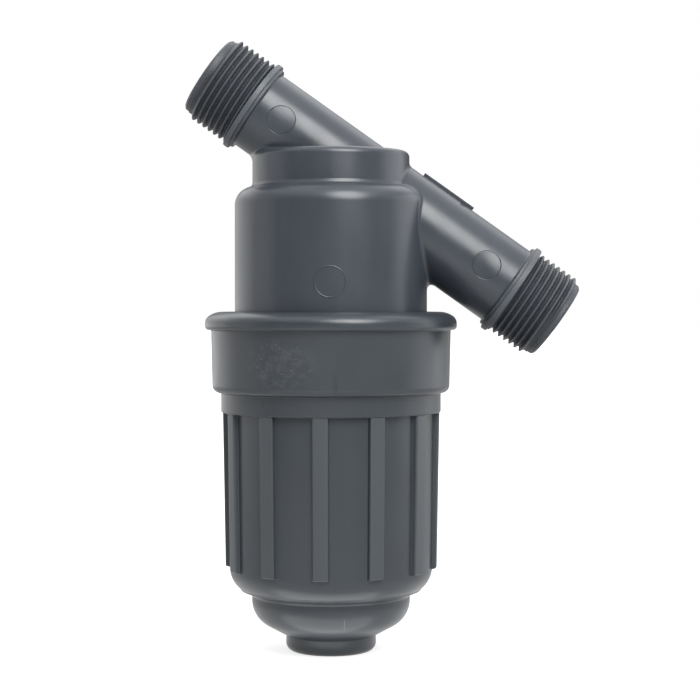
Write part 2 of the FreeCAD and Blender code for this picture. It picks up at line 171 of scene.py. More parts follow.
def turned(name, profile, columns):
    """A closed solid turned about Z from a profile that starts and ends on the axis."""
    angles = np.arange(columns) * 2 * math.pi / columns
    ring = np.stack([np.cos(angles), np.sin(angles)], 1)
    middle = profile[1:-1]
    points = np.empty((len(middle), columns, 3))
    points[:, :, :2] = middle[:, None, :1] * ring
    points[:, :, 2] = middle[:, 1:]
    count = len(middle) * columns
    points = np.vstack([points.reshape(-1, 3), [[0, 0, profile[0][1]], [0, 0, profile[-1][1]]]])
    here = np.arange(columns)
    on = (here + 1) % columns
    faces = [(count, int(b), int(a)) for a, b in zip(here, on)]
    for row in range(len(middle) - 1):
        low, high = row * columns, (row + 1) * columns
        corners = (low + here, low + on, high + on, high + here)
        faces.extend(zip(*(corner.tolist() for corner in corners)))
    top = count - columns
    faces.extend((top + int(a), top + int(b), count + 1) for a, b in zip(here, on))
    mesh = bpy.data.meshes.new(name)
    mesh.from_pydata((points * MM).tolist(), [], faces)
    return link(name, mesh)


def rod(name, radius, low, high, columns):
    """A plain closed rod about Z between two levels."""
    return turned(name, np.array([(0, low), (radius, low), (radius, high), (0, high)]), columns)


def lay_along_pipe(piece):
    """Turns a piece made about Z, so that Z runs down the pipe from its crossing and X is its top line."""
    towards_camera = PIPE_WAY.cross(PIPE_UP)
    turn = Matrix((PIPE_UP, towards_camera, PIPE_WAY)).transposed().to_4x4()
    piece.data.transform(Matrix.Translation(PIPE_CENTRE) @ turn)
    return piece


def settle(piece):
    """Makes what a piece's modifiers show its own plain mesh."""
    shown = piece.evaluated_get(bpy.context.evaluated_depsgraph_get())
    mesh = bpy.data.meshes.new_from_object(shown)
    piece.modifiers.clear()
    piece.data = mesh
    return piece


def combine(piece, operation, *tools):
    """Joins closed solids to a piece, cuts them from it or keeps what they share, and removes them."""
    for tool in tools:
        modifier = piece.modifiers.new("combine", "BOOLEAN")
        modifier.operation = operation
        modifier.solver = "MANIFOLD"
        modifier.object = tool
        settle(piece)
        bpy.data.objects.remove(tool)
    return piece


def feed(tree, node, values):
    """Feeds a node's inputs, in order or by name: another node's output is linked, anything else is set."""
    for key, value in values.items() if isinstance(values, dict) else enumerate(values):
        if isinstance(value, bpy.types.NodeSocket):
            tree.links.new(value, node.inputs[key])
        elif value is not None:
            node.inputs[key].default_value = value


def add_node(tree, kind, *values, output=0, **settings):
    """A new node with its settings, its first inputs fed in order, and one of its outputs returned."""
    made = tree.nodes.new(kind)
    for key, value in settings.items():
        setattr(made, key, value)
    feed(tree, made, values)
    return made.outputs[output]


def calculator(tree):
    """A short way to add math nodes to a tree: it takes an operation and its values, and gives the result."""
    return lambda operation, *values: add_node(tree, "ShaderNodeMath", *values, operation=operation)


def vector_math(tree, operation, *values):
    """What a vector math node gives: a number for a length, a distance or a dot product, else a vector."""
    output = "Value" if operation in ("LENGTH", "DISTANCE", "DOT_PRODUCT") else 0
    return add_node(tree, "ShaderNodeVectorMath", *values, operation=operation, output=output)


def ramp(tree, value, low, high, start, end, easing="LINEAR"):
    """A value that goes from start to end while another one goes from low to high."""
    return add_node(tree, "ShaderNodeMapRange", value, low, high, start, end, interpolation_type=easing)


def split_xyz(tree, vector):
    """The three parts of a vector."""
    split = tree.nodes.new("ShaderNodeSeparateXYZ")
    tree.links.new(vector, split.inputs[0])
    return split.outputs


def new_tree(name, kind, inputs, outputs):
    """An empty geometry or shader tree, what its named inputs give, and the end node of its named outputs."""
    tree = bpy.data.node_groups.new(name, kind + "NodeTree")
    for side, sockets in (("INPUT", inputs), ("OUTPUT", outputs)):
        for socket, holds in sockets.items():
            tree.interface.new_socket(socket, in_out=side, socket_type="NodeSocket" + holds)
    return tree, tree.nodes.new("NodeGroupInput").outputs, tree.nodes.new("NodeGroupOutput")


def grow(piece, tree, values):
    """Puts a geometry tree on a piece, sets its inputs by their identifiers, and keeps what it makes."""
    modifier = piece.modifiers.new(tree.name, "NODES")
    modifier.node_group = tree
    for socket in tree.interface.items_tree:
        if socket.name in values:
            modifier[socket.identifier] = values[socket.name]
    return settle(piece)


WELD = 0.001 * MM
THREAD_ROWS_PER_TURN = 10
THREAD_SPARE_TURNS = 2.5
THREAD_ROOT_FLAT = 0.85
THREAD_CREST_FLAT = 0.12
THREAD_FADE = 0.12


def screw_thread_tree():
    """A closed threaded rod about Z: a grid is rolled up so that its rows climb with the thread, and each row
    keeps its place on the crest or the flank. A negative depth gives the hollow of a nut."""
    tree, given, result = new_tree(
        "screw_thread", "Geometry",
        {"Geometry": "Geometry", "Columns": "Int", "Rows": "Int", "Foot": "Float", "Length": "Float",
         "Pitch": "Float", "Root": "Float", "Depth": "Float", "Crest": "Float", "First": "Float",
         "Last": "Float", "Material": "Material"}, {"Geometry": "Geometry"})
    calc = calculator(tree)
    columns = calc("ADD", given["Columns"], 1)
    rows = calc("ADD", given["Rows"], 1)
    grid = add_node(tree, "GeometryNodeMeshGrid", 1, 1, columns, rows)
    place = split_xyz(tree, add_node(tree, "GeometryNodeInputPosition"))
    turn = calc("ADD", place[0], 0.5)
    row = calc("MULTIPLY", calc("ADD", place[1], 0.5), given["Rows"])
    crest_turn = calc("ADD", given["Crest"], turn)
    climb = calc("ADD", calc("DIVIDE", row, THREAD_ROWS_PER_TURN), crest_turn)
    rise = calc("MULTIPLY", calc("SUBTRACT", climb, THREAD_SPARE_TURNS), given["Pitch"])
    rise = calc("MINIMUM", calc("MAXIMUM", rise, 0.0), given["Length"])
    phase = calc("SUBTRACT", calc("DIVIDE", rise, given["Pitch"]), crest_turn)
    from_crest = calc("MULTIPLY", calc("PINGPONG", phase, 0.5), 2.0)
    flank = ramp(tree, from_crest, THREAD_ROOT_FLAT, THREAD_CREST_FLAT, 0.0, 1.0)
    number = calc("ADD", calc("ROUND", phase), turn)
    faded_in = calc("ADD", given["First"], THREAD_FADE)
    fading_out = calc("SUBTRACT", given["Last"], THREAD_FADE)
    start = ramp(tree, number, given["First"], faded_in, 0.0, 1.0, "SMOOTHSTEP")
    end = ramp(tree, number, fading_out, given["Last"], 1.0, 0.0, "SMOOTHSTEP")
    height = calc("MULTIPLY", calc("MULTIPLY", flank, given["Depth"]), calc("MULTIPLY", start, end))
    from_end = calc("MINIMUM", row, calc("SUBTRACT", given["Rows"], row))
    skin = calc("GREATER_THAN", from_end, 0.5)
    radius = calc("MULTIPLY", calc("ADD", given["Root"], height), skin)
    angle = calc("MULTIPLY", turn, 2 * math.pi)
    point = add_node(tree, "ShaderNodeCombineXYZ", calc("MULTIPLY", radius, calc("COSINE", angle)),
                     calc("MULTIPLY", radius, calc("SINE", angle)), calc("ADD", rise, given["Foot"]))
    rolled = add_node(tree, "GeometryNodeSetPosition", grid, None, point)
    closed = add_node(tree, "GeometryNodeMergeByDistance", rolled, None, WELD)
    real = add_node(tree, "GeometryNodeRealizeInstances", closed)
    feed(tree, result, [add_node(tree, "GeometryNodeSetMaterial", real, None, given["Material"])])
    return tree


screw_thread = screw_thread_tree()


def threaded_rod(name, material, columns, foot, top, pitch, root, depth, crest, first=-9.0, last=99.0):
    """A closed threaded rod between two levels, with a crest at the level crest on its X side. The thread
    fades in after the turn first and out before the turn last, counted from that crest."""
    turns = (top - foot) / pitch
    values = {"Columns": columns, "Rows": math.ceil(THREAD_ROWS_PER_TURN * (turns + THREAD_SPARE_TURNS)) + 2,
              "Foot": foot * MM, "Length": (top - foot) * MM, "Pitch": pitch * MM, "Root": root * MM,
              "Depth": depth * MM, "Crest": (crest - foot) / pitch, "First": first, "Last": last,
              "Material": material}
    return grow(link(name, bpy.data.meshes.new(name)), screw_thread, values)


def noise(tree, vector, scale, detail, roughness):
    """Soft noise between 0 and 1."""
    return add_node(tree, "ShaderNodeTexNoise", vector, None, scale, detail, roughness)


def moulded_skin_group():
    """The skin that the mould leaves on plastic: soft clouds of tone, faint flow lines and a fine grain."""
    group, given, result = new_tree(
        "moulded_skin", "Shader",
        {"Vector": "Vector", "Colour": "Color", "Clouds": "Float", "Gloss": "Float", "Grain": "Float"},
        {"Colour": "Color", "Roughness": "Float", "Height": "Float"})
    calc = calculator(group)
    clouds = noise(group, given["Vector"], 55.0, 3.0, 0.5)
    stretched = add_node(group, "ShaderNodeMapping", given["Vector"], None, None, (260.0, 260.0, 45.0))
    flow = noise(group, stretched, 1.0, 4.0, 0.55)
    grain = noise(group, given["Vector"], 4200.0, 2.0, 0.5)
    uneven = calc("SUBTRACT", calc("ADD", clouds, calc("MULTIPLY", flow, 0.5)), 0.75)
    tone = calc("ADD", calc("MULTIPLY", uneven, given["Clouds"]), 1.0)
    dull = calc("MULTIPLY", calc("SUBTRACT", calc("ADD", clouds, flow), 1.0), 0.14)
    height = calc("ADD", calc("MULTIPLY", grain, given["Grain"]), calc("MULTIPLY", flow, 0.25))
    colour = vector_math(group, "SCALE", given["Colour"], None, None, tone)
    feed(group, result, {"Colour": colour, "Roughness": calc("ADD", given["Gloss"], dull), "Height": height})
    return group


moulded_skin = moulded_skin_group()


def place_group(tree, group, **values):
    """A group placed in a material's tree, with its inputs set or linked by name."""
    placed = tree.nodes.new("ShaderNodeGroup")
    placed.node_tree = group
    feed(tree, placed, values)
    return placed.outputs


def blank_material(name):
    """A material with only its Principled shader and output, and the piece's own coordinates."""
    material = bpy.data.materials.new(name)
    material.use_nodes = True
    tree = material.node_tree
    coordinates = tree.nodes.new("ShaderNodeTexCoord").outputs["Object"]
    return material, tree, tree.nodes["Principled BSDF"], coordinates


def cover(tree, shader, colour, roughness, height, bump_strength, bump_depth):
    """Feeds a finish into the shader: its colour, its roughness, and its height as a bump of a strength and
    a depth in metres."""
    bump = tree.nodes.new("ShaderNodeBump")
    feed(tree, bump, {"Strength": bump_strength, "Distance": bump_depth, "Height": height})
    feed(tree, shader, {"Base Color": colour, "Roughness": roughness, "Normal": bump.outputs[0]})


def round_axis_group():
    """Where a point lies from an axis: how far along it, and how far out."""
    group, given, result = new_tree(
        "round_axis", "Shader", {"Vector": "Vector", "Centre": "Vector", "Way": "Vector"},
        {"Along": "Float", "Radius": "Float"})
    away = vector_math(group, "SUBTRACT", given["Vector"], given["Centre"])
    along = vector_math(group, "DOT_PRODUCT", away, given["Way"])
    out = vector_math(group, "SUBTRACT", away, vector_math(group, "MULTIPLY", given["Way"], along))
    feed(group, result, {"Along": along, "Radius": vector_math(group, "LENGTH", out)})
    return group


round_axis = round_axis_group()


def tinted(tree, colour, mask, other):
    """A colour that turns to another one where the mask is."""
    mixed = tree.nodes.new("ShaderNodeMix")
    mixed.data_type = "RGBA"
    feed(tree, mixed, {"Factor": mask, "A": colour, "B": other})
    return mixed.outputs["Result"]


SKIN_BUMP = (0.25, 0.00012)
# Painted shade in the thread roots and a painted highlight along the thread crests: their colours, how far
# each reaches in millimetres, and how strong it is
ROOT_SHADE_COLOUR = (0.012, 0.014, 0.017, 1)
CREST_HIGHLIGHT_COLOUR = (0.085, 0.095, 0.105, 1)
ROOT_SHADE_REACH = 0.75
ROOT_SHADE_STRENGTH = 0.85
CREST_HIGHLIGHT_REACH = 0.3
CREST_HIGHLIGHT_STRENGTH = 0.6


def housing_material():
    """Dark slate grey polypropylene with a satin skin, dull on the pipe threads, with painted shade in their
    roots and painted highlights along their crests."""
    material, tree, shader, place = blank_material("housing_polypropylene")
    calc = calculator(tree)
    skin = place_group(tree, moulded_skin, Vector=place, Colour=HOUSING_COLOUR, Clouds=0.30, Gloss=0.32,
                       Grain=0.2)
    pipe_place = place_group(tree, round_axis, Vector=place, Centre=PIPE_CENTRE, Way=PIPE_WAY)
    along, radius = pipe_place["Along"], pipe_place["Radius"]
    flange = FLANGE_WIDTH + STEP_RING_WIDTH
    ends = calc("MAXIMUM", calc("LESS_THAN", along, (INLET_FLANGE + flange) * MM),
                calc("GREATER_THAN", along, (OUTLET_FLANGE - flange) * MM))
    outside = calc("MULTIPLY", ends, calc("GREATER_THAN", radius, (BORE_RADIUS + 1) * MM))
    run = calc("MULTIPLY", calc("GREATER_THAN", along, (INLET_MOUTH + LEAD_LENGTH) * MM),
               calc("LESS_THAN", along, (OUTLET_MOUTH - LEAD_LENGTH) * MM))
    threads = calc("MULTIPLY", outside, run)
    root = THREAD_CREST - THREAD_DEPTH
    # Painted shade: the threads darken towards their roots
    root_shade = ramp(tree, radius, root * MM, (root + ROOT_SHADE_REACH) * MM, ROOT_SHADE_STRENGTH, 0.0)
    # Painted highlight: the threads lighten towards their crests
    crest_highlight = ramp(tree, radius, (THREAD_CREST - CREST_HIGHLIGHT_REACH) * MM, THREAD_CREST * MM, 0.0, CREST_HIGHLIGHT_STRENGTH)
    colour = tinted(tree, skin["Colour"], calc("MULTIPLY", threads, root_shade), ROOT_SHADE_COLOUR)
    colour = tinted(tree, colour, calc("MULTIPLY", threads, crest_highlight), CREST_HIGHLIGHT_COLOUR)
    roughness = calc("MULTIPLY_ADD", outside, 0.2, skin["Roughness"])
    cover(tree, shader, colour, roughness, skin["Height"], *SKIN_BUMP)
    return material


housing_polypropylene = housing_material()

upright_corners = [
    (0, NOSE_LEVEL, 0),
    (NOSE_RADIUS, NOSE_LEVEL, 0.4),
    (NOSE_RADIUS, GROOVE_LEVEL - GROOVE_HALF_WIDTH, 0.15),
    (GROOVE_RADIUS, GROOVE_LEVEL - GROOVE_HALF_WIDTH, 0.2),
    (GROOVE_RADIUS, GROOVE_LEVEL + GROOVE_HALF_WIDTH, 0.2),
    (NOSE_RADIUS, GROOVE_LEVEL + GROOVE_HALF_WIDTH, 0.15),
    (NOSE_RADIUS, STOP_FOOT, 0),
    (STOP_RADIUS, STOP_FOOT, 0.2),
    (STOP_RADIUS, STOP_TOP, 0.4),
    (BODY_RADIUS, STOP_TOP, 0.5),
    (BODY_RADIUS, SHOULDER, 5.2),
    (COLLAR_RADIUS + FLARE_WIDTH, FLARE_FOOT, 0.2),
    (COLLAR_RADIUS, FLARE_TOP, 0.8),
    (COLLAR_RADIUS, COLLAR_TOP, 1.8),
    (0, COLLAR_TOP, 0),
]
FINE_FOOT = MOUTH_LEVEL + 0.5
upright_profile = with_steps(rounded_profile(upright_corners), FINE_STEP, FINE_FOOT, COLLAR_TOP)
housing = turned("housing_moulding", upright_profile, HOUSING_COLUMNS)


def end_corners(mouth, flange, inwards):
    """The outline of a threaded end, from the middle of its mouth to the plain pipe, before its thread."""
    ring = flange + inwards * FLANGE_WIDTH
    plain = ring + inwards * STEP_RING_WIDTH
    return [
        (0, mouth, 0),
        (LEAD_RADIUS - LEAD_CHAMFER, mouth, 0.15),
        (LEAD_RADIUS, mouth + inwards * LEAD_CHAMFER, 0.2),
        (LEAD_RADIUS, flange, 0.1),
        (FLANGE_RADIUS, flange, 0.25),
        (FLANGE_RADIUS, ring, 0.25),
        (STEP_RING_RADIUS, ring, 0.12),
        (STEP_RING_RADIUS, plain, 0.35),
        (PIPE_RADIUS, plain, 0.5),
    ]


PIPE_FINE = (-30.0, 50.0)
pipe_corners = end_corners(INLET_MOUTH, INLET_FLANGE, 1) + end_corners(OUTLET_MOUTH, OUTLET_FLANGE, -1)[::-1]
pipe_profile = with_steps(rounded_profile(pipe_corners), FINE_STEP, *PIPE_FINE)
combine(housing, "UNION", lay_along_pipe(turned("pipe", pipe_profile, PIPE_COLUMNS)))


def from_turned(points, profile):
    """Signed distances of points from a turned form, and the way out of it, by the nearest stretch."""
    radii = np.hypot(points[:, 0], points[:, 1])
    flat = np.stack([radii, points[:, 2]], 1)
    start, step = profile[:-1], np.diff(profile, axis=0)
    facing = np.stack([step[:, 1], -step[:, 0]], 1) / np.hypot(*step.T)[:, None]
    corner_facing = np.vstack([facing[:1], facing[:-1] + facing[1:], facing[-1:]])
    corner_facing /= np.hypot(*corner_facing.T)[:, None]
    away = flat[:, None] - start
    share = np.clip((away * step).sum(2) / (step * step).sum(1), 0, 1)
    away = away - share[:, :, None] * step
    nearest = (away * away).sum(2).argmin(1)
    every = np.arange(len(points))
    away, share = away[every, nearest], share[every, nearest][:, None]
    out = corner_facing[nearest] * (1 - share) + corner_facing[nearest + 1] * share
    out /= np.hypot(*out.T)[:, None]
    distance = np.hypot(*away.T) * np.where((away * out).sum(1) < 0, -1, 1)
    around = points[:, :2] / np.maximum(radii, 1e-6)[:, None]
    return distance, np.stack([out[:, 0] * around[:, 0], out[:, 0] * around[:, 1], out[:, 1]], 1)


def from_pipe(points):
    """Signed distances of points from the pipe's outside, and the way out of it."""
    way, centre = np.array(PIPE_WAY), np.array(PIPE_CENTRE) / MM
    away = points - centre
    away = away - (away @ way)[:, None] * way
    distance = np.linalg.norm(away, axis=1)
    return distance - PIPE_RADIUS, away / distance[:, None]


JUNCTION_ROUNDING = 0.7
JUNCTION_UNDER = 0.5
JUNCTION_OUTLET = 1.3
JUNCTION_CHANGE = 10.0
SETTLING_STEPS = 4
LEAST_SLOPE = 0.05


def junction_radius(points):
    """How wide the junction is rounded: least round the front, more under the pipe, most at the outlet."""
    _, out = from_pipe(points)
    under = np.clip(-(out @ np.array(PIPE_UP)), 0, 1) ** 2
    outlet_side = np.clip(points[:, 0] / JUNCTION_CHANGE + 0.5, 0, 1)
    return JUNCTION_ROUNDING + under * (JUNCTION_UNDER + JUNCTION_OUTLET * outlet_side)


def blend_field(points, profile):
    """The rounded junction of body and pipe as a field that is zero on the surface, with its gradient."""
    rounding = junction_radius(points)
    body, body_out = from_turned(points, profile)
    pipe_gap, pipe_out = from_pipe(points)
    near = np.stack([np.maximum(rounding - body, 0), np.maximum(rounding - pipe_gap, 0)], 1)
    length = np.maximum(np.hypot(*near.T), 1e-9)
    blended = (near > 0).all(1)
    value = np.where(blended, rounding - length, np.minimum(body, pipe_gap))
    mixed = (near[:, :1] * body_out + near[:, 1:] * pipe_out) / length[:, None]
    single = np.where((body < pipe_gap)[:, None], body_out, pipe_out)
    return value, np.where(blended[:, None], mixed, single), blended


outer_profile = rounded_profile(upright_corners, bend_step=3.0)
outer_profile = outer_profile[outer_profile[:, 1] > MOUTH_LEVEL]
outer_profile = np.vstack([(BODY_RADIUS, 0), outer_profile])


def read_rows(items, attribute, width=1, kind=float):
    """One attribute of a mesh's points, corners or faces, as the rows of an array."""
    values = np.empty(len(items) * width, kind)
    items.foreach_get(attribute, values)
    return values.reshape(-1, width) if width > 1 else values


def cut_finer(mesh, reach, longest):
    """Halves the edges that lie within a reach of the crease between body and pipe and are over a length."""
    points = read_rows(mesh.vertices, "co", 3) / MM
    gaps = np.maximum(from_turned(points, outer_profile)[0], from_pipe(points)[0])
    near = gaps < junction_radius(points) + reach
    work = bmesh.new()
    work.from_mesh(mesh)
    long = [edge for edge in work.edges if near[edge.verts[0].index] and near[edge.verts[1].index]
            and edge.calc_length() > longest * MM]
    bmesh.ops.subdivide_edges(work, edges=long, cuts=1, use_grid_fill=True)
    bmesh.ops.triangulate(work, faces=[face for face in work.faces if len(face.verts) > 4])
    work.to_mesh(mesh)
    work.free()


# Each pass halves edges: how far from the crease it reaches, and the longest edge that it leaves alone
JUNCTION_PASSES = ((1.8, 1.0), (1.0, 0.5), (0.5, 0.25))


def round_junction(mesh):
    """Cuts the mesh finer near the crease between body and pipe, and moves its points out to the rounding."""
    for reach, longest in JUNCTION_PASSES:
        cut_finer(mesh, reach, longest)
    points = read_rows(mesh.vertices, "co", 3) / MM
    for _ in range(SETTLING_STEPS):
        value, way, blended = blend_field(points, outer_profile)
        step = -value[:, None] * way / np.maximum((way * way).sum(1), LEAST_SLOPE)[:, None]
        points[blended] += step[blended]
    mesh.vertices.foreach_set("co", (points * MM).ravel())
    mesh.update()


round_junction(housing.data)

ARROW_FOOT = 24.0
ARROW_TIP = 41.2
ARROW_HEAD = 3.9
ARROW_WING = 3.1
ARROW_SHAFT = 1.3
ARROW_HEIGHT = 0.95


def flow_arrow():
    """The raised arrow on the pipe's top line, which points the way that the water goes."""
    across = sorted({-ARROW_SHAFT, ARROW_SHAFT, *np.linspace(-ARROW_WING, ARROW_WING, 13)})
    neck = ARROW_TIP - ARROW_HEAD
    work = bmesh.new()

    def corner(side, along):
        angle = side / PIPE_RADIUS
        radius = (PIPE_RADIUS + ARROW_HEIGHT) * MM
        return work.verts.new((radius * math.cos(angle), radius * math.sin(angle), along * MM))

    for left, right in zip(across, across[1:]):
        tips = [ARROW_TIP - abs(side) / ARROW_WING * ARROW_HEAD for side in (left, right)]
        work.faces.new((corner(left, neck), corner(right, neck),
                        corner(right, tips[1]), corner(left, tips[0])))
        if max(abs(left), abs(right)) <= ARROW_SHAFT + 1e-6:
            work.faces.new((corner(left, ARROW_FOOT), corner(right, ARROW_FOOT),
                            corner(right, neck), corner(left, neck)))
    bmesh.ops.remove_doubles(work, verts=work.verts, dist=WELD)
    walls = bmesh.ops.extrude_face_region(work, geom=work.faces[:], use_keep_orig=True)["geom"]
    for vertex in (item for item in walls if isinstance(item, bmesh.types.BMVert)):
        vertex.co.x -= 2 * ARROW_HEIGHT * MM
    bmesh.ops.recalc_face_normals(work, faces=work.faces)
    mesh = bpy.data.meshes.new("arrow")
    work.to_mesh(mesh)
    work.free()
    return lay_along_pipe(link("arrow", mesh))


combine(housing, "UNION", flow_arrow())

WITNESS_RADIUS = 4.0
WITNESS_WIRE = 0.16
WITNESS_LEAST = 0.02
WITNESS_DISH = 0.22
WITNESS_LID = 0.3
INLET_WITNESS = (-17.5, 0.8)
OUTLET_WITNESS = (53.1, 0.95)
BODY_WITNESS = (0.0, 105.9)
BODY_WITNESS_RADIUS = 4.3


def on_pipe_front(along, up):
    """Points on the pipe's front, by their place along the pipe and above its axis."""
    depth = np.array([0, -1.0, 0]) * np.sqrt(PIPE_RADIUS ** 2 - up ** 2)[:, None]
    way, rise = np.array(PIPE_WAY), np.array(PIPE_UP)
    return np.array(PIPE_CENTRE) / MM + along[:, None] * way + up[:, None] * rise + depth


def on_body_front(across, level):
    """Points on the body's front, by their place across it and their level."""
    return np.stack([across, -np.sqrt(BODY_RADIUS ** 2 - across ** 2), level], 1)


def closed_solid(name, points, faces):
    """A closed solid from its points in millimetres, with its faces turned outwards."""
    mesh = bpy.data.meshes.new(name)
    mesh.from_pydata((points * MM).tolist(), [], faces)
    work = bmesh.new()
    work.from_mesh(mesh)
    bmesh.ops.recalc_face_normals(work, faces=work.faces)
    work.to_mesh(mesh)
    work.free()
    return link(name, mesh)


def witness_ring(centre, radius, surface):
    """A thin closed ring that follows a surface, for the round witness line of a mould insert."""
    rounds, sides = 72, 8
    turn = np.arange(rounds) * 2 * math.pi / rounds
    path = surface(centre[0] + radius * np.cos(turn), centre[1] + radius * np.sin(turn))
    ahead = np.roll(path, -1, 0) - np.roll(path, 1, 0)
    ahead /= np.linalg.norm(ahead, axis=1)[:, None]
    side = np.cross(ahead, (0, -1.0, 0))
    side /= np.linalg.norm(side, axis=1)[:, None]
    lift = np.cross(side, ahead)
    angle = np.arange(sides) * 2 * math.pi / sides
    points = path[:, None] + WITNESS_WIRE * (
        np.cos(angle)[None, :, None] * side[:, None] + np.sin(angle)[None, :, None] * lift[:, None])
    faces = []
    for i in range(rounds):
        for j in range(sides):
            a, b = i * sides + j, i * sides + (j + 1) % sides
            c, d = (a + sides) % (rounds * sides), (b + sides) % (rounds * sides)
            faces.append((a, b, d, c))
    return closed_solid("witness_ring", points.reshape(-1, 3), faces)


def witness_disc(centre, radius, surface):
    """A lens that cuts the round face of a mould insert a little flatter than the surface round it."""
    rings, sectors = 10, 64
    share = np.arange(1, rings + 1) / rings
    turn = np.arange(sectors) * 2 * math.pi / sectors
    across = np.append(0, (share[:, None] * radius * np.cos(turn)).ravel())
    up = np.append(0, (share[:, None] * radius * np.sin(turn)).ravel())
    sunk = surface(centre[0] + across, centre[1] + up)
    lid = sunk.copy()
    sunk[:, 1] += WITNESS_LEAST + WITNESS_DISH * (1 - (across ** 2 + up ** 2) / radius ** 2)
    lid[:, 1] -= WITNESS_LID
    count = len(sunk)
    edge = count - sectors
    faces, walls = [], []
    for here in range(sectors):
        on = (here + 1) % sectors
        faces.append((0, 1 + here, 1 + on))
        for inner in range(1, edge, sectors):
            outer = inner + sectors
            faces.append((inner + here, outer + here, outer + on, inner + on))
        walls.append((edge + here, edge + here + count, edge + on + count, edge + on))
    faces = faces + [tuple(count + i for i in face) for face in faces] + walls
    return closed_solid("witness_disc", np.vstack([sunk, lid]), faces)


for cutter in (witness_disc, witness_ring):
    for centre in (INLET_WITNESS, OUTLET_WITNESS):
        combine(housing, "DIFFERENCE", cutter(centre, WITNESS_RADIUS, on_pipe_front))
combine(housing, "UNION", witness_ring(BODY_WITNESS, BODY_WITNESS_RADIUS, on_body_front))

INLET_CREST = -40.23
OUTLET_CREST = 65.5
THREAD_OVERLAP = 0.5
for name, foot, top, crest, fade in (
        ("inlet_screw", INLET_MOUTH + LEAD_LENGTH, INLET_FLANGE + THREAD_OVERLAP, INLET_CREST,
         {"first": -0.35}),
        ("outlet_screw", OUTLET_FLANGE - THREAD_OVERLAP, OUTLET_MOUTH - LEAD_LENGTH, OUTLET_CREST,
         {"last": 6.3})):
    screw = threaded_rod(name, housing_polypropylene, PIPE_COLUMNS, foot, top, THREAD_PITCH,
                         THREAD_CREST - THREAD_DEPTH, THREAD_DEPTH, crest, **fade)
    combine(housing, "UNION", lay_along_pipe(screw))
combine(housing, "UNION", threaded_rod(
    "skirt_screw", housing_polypropylene, HOUSING_COLUMNS // 2, THREAD_FOOT, STOP_FOOT + THREAD_OVERLAP,
    SKIRT_PITCH, SKIRT_ROOT, SKIRT_THREAD_DEPTH, THREAD_FOOT + 0.5 * SKIRT_PITCH, first=0.2))


def passage(name, low, high):
    """A stretch of the pipe's bore, as a rod to cut with."""
    return lay_along_pipe(rod(name, BORE_RADIUS, low, high, PIPE_COLUMNS))


THROAT_ROOM_TOP = CROSSING / MM + THROAT_RADIUS
throat = rod("throat", THROAT_RADIUS, NOSE_LEVEL - SPARE, THROAT_ROOF, HOUSING_COLUMNS)
inlet_end = combine(passage("inlet_end", -SPARE, 2 * THROAT_RADIUS), "INTERSECT",
                    rod("throat_room", THROAT_RADIUS, THROAT_END, THROAT_ROOM_TOP, HOUSING_COLUMNS))
combine(throat, "UNION", passage("inlet_bore", INLET_MOUTH - SPARE, 0), inlet_end)
chamber = turned("chamber", rounded_profile([
    (0, NOSE_LEVEL - SPARE, 0),
    (CHAMBER_RADIUS, NOSE_LEVEL - SPARE, 0),
    (CHAMBER_RADIUS, CHAMBER_ROOF, 2.35),
    (0, CHAMBER_ROOF, 0),
]), HOUSING_COLUMNS)
combine(chamber, "UNION", passage("outlet_bore", SPARE, OUTLET_MOUTH + SPARE))
combine(chamber, "DIFFERENCE",
        rod("throat_tube", THROAT_OUTER_RADIUS, THROAT_END, THROAT_ROOM_TOP, HOUSING_COLUMNS))
combine(housing, "DIFFERENCE", throat, chamber)

CREASE_ANGLE = math.radians(32)
CORNER_WEIGHT = 60
# How far a point may lie off an exact form, in millimetres, and a face may lean away from it, in radians
FORM_GAP = 0.012
FORM_LEAN = 0.3


def finish_skin(piece, material):
    """Gives a moulding its material, and smooth shading that keeps edges sharper than the crease angle."""
    piece.data.materials.clear()
    piece.data.materials.append(material)
    piece.data.shade_smooth()
    piece.data.set_sharp_from_angle(angle=CREASE_ANGLE)
    modifier = piece.modifiers.new("weighted_normals", "WEIGHTED_NORMAL")
    modifier.keep_sharp = True
    modifier.weight = CORNER_WEIGHT
    return settle(piece)


def true_normals(mesh, low, exact_form):
    """Shades what lies on an exact form above a level by that form, and leaves the rest as it is. A face that
    leans away from the form belongs to something else, except where the form says that it is a rounding."""
    points = read_rows(mesh.vertices, "co", 3) / MM
    above = points[:, 2] > low
    gap, out, rounded = np.ones(len(points)), np.ones((len(points), 3)), np.zeros(len(points), bool)
    gap[above], out[above], rounded[above] = exact_form(points[above])
    out /= np.linalg.norm(out, axis=1)[:, None]
    corner_point = read_rows(mesh.loops, "vertex_index", kind=int)
    normals = read_rows(mesh.corner_normals, "vector", 3)
    face_corners = read_rows(mesh.polygons, "loop_total", kind=int)
    face_out = np.repeat(read_rows(mesh.polygons, "normal", 3), face_corners, 0)
    along = (face_out * out[corner_point]).sum(1) > math.cos(FORM_LEAN)
    exact = (np.abs(gap[corner_point]) < FORM_GAP) & (along | rounded[corner_point])
    normals[exact] = out[corner_point][exact]
    mesh.normals_split_custom_set(normals)


finish_skin(housing, housing_polypropylene)
true_normals(housing.data, MOUTH_LEVEL, lambda points: blend_field(points, outer_profile))
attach(housing, "housing")
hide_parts("housing")

# Bowl seal: an O-ring moulded in black rubber, greased and stretched into the groove round the skirt's nose,
# where it closes the gap to the bowl's bore.
SEAL_COLOUR = (0.012, 0.012, 0.013, 1)
BLOOM_COLOUR = (0.09, 0.09, 0.085, 1)
RUBBER_BUMP = (0.3, 0.00005)


